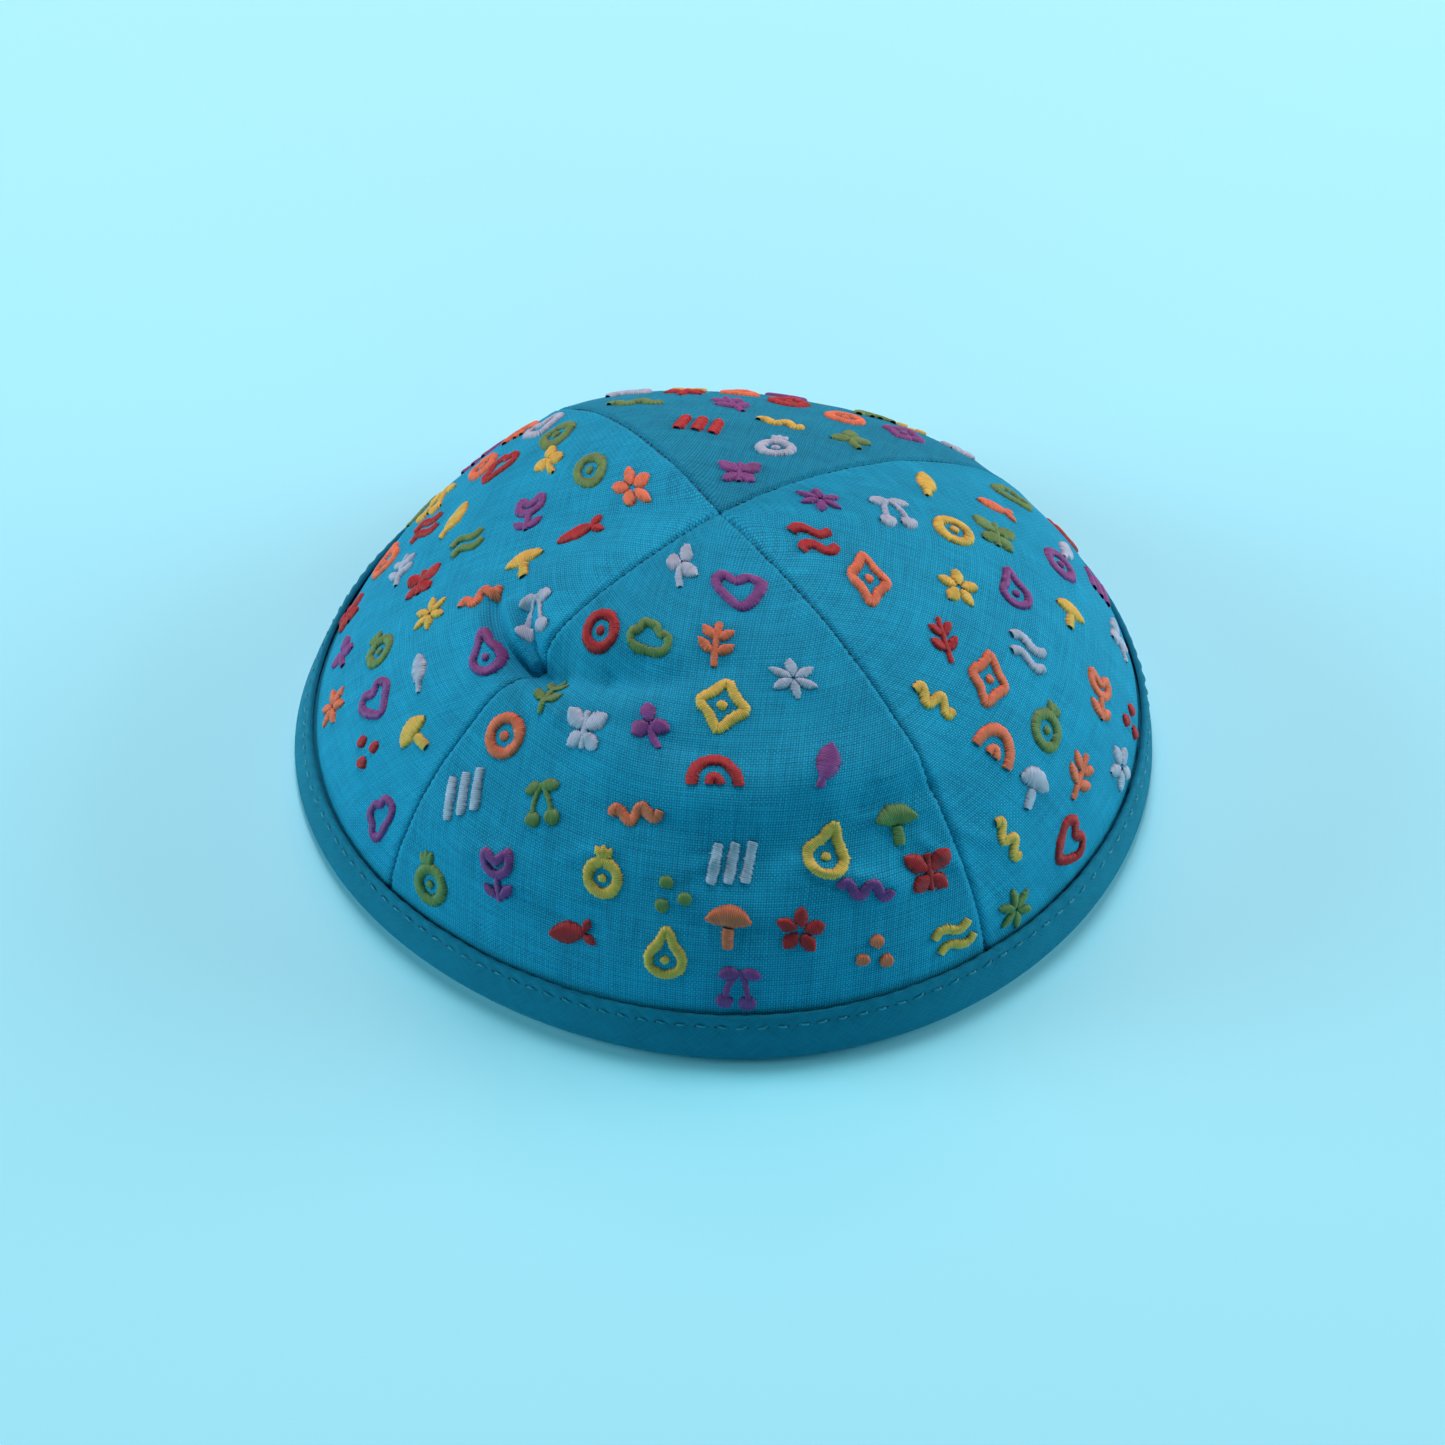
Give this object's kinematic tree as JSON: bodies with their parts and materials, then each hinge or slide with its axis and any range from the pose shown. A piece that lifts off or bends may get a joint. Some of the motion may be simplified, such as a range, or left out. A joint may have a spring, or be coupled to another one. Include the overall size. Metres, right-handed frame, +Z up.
{
  "type": "embroidered kippah",
  "caption": "Soft domed skullcap sewn from cloth gores that meet at the crown, with a folded binding round the rim, open below for the head.",
  "frame": {"origin": "on the ground under the middle of the cap's box, at the level of the binding's flat foot", "axes": "+Z up from the rim to the crossing of the seams, -Y towards the gore called front, +X to that gore's right as seen from the front"},
  "size_m": [0.1699, 0.1716, 0.0573],
  "materials": {
    "crown_cloth": "teal plain-weave cotton with coloured satin-stitch motifs",
    "band_cloth": "darker teal plain cotton bias binding"
  },
  "bodies": {
    "root": {"panel_front": "crown_cloth", "panel_right": "crown_cloth", "panel_back": "crown_cloth", "panel_left": "crown_cloth", "rim_band": "band_cloth"}
  },
  "joints": []
}
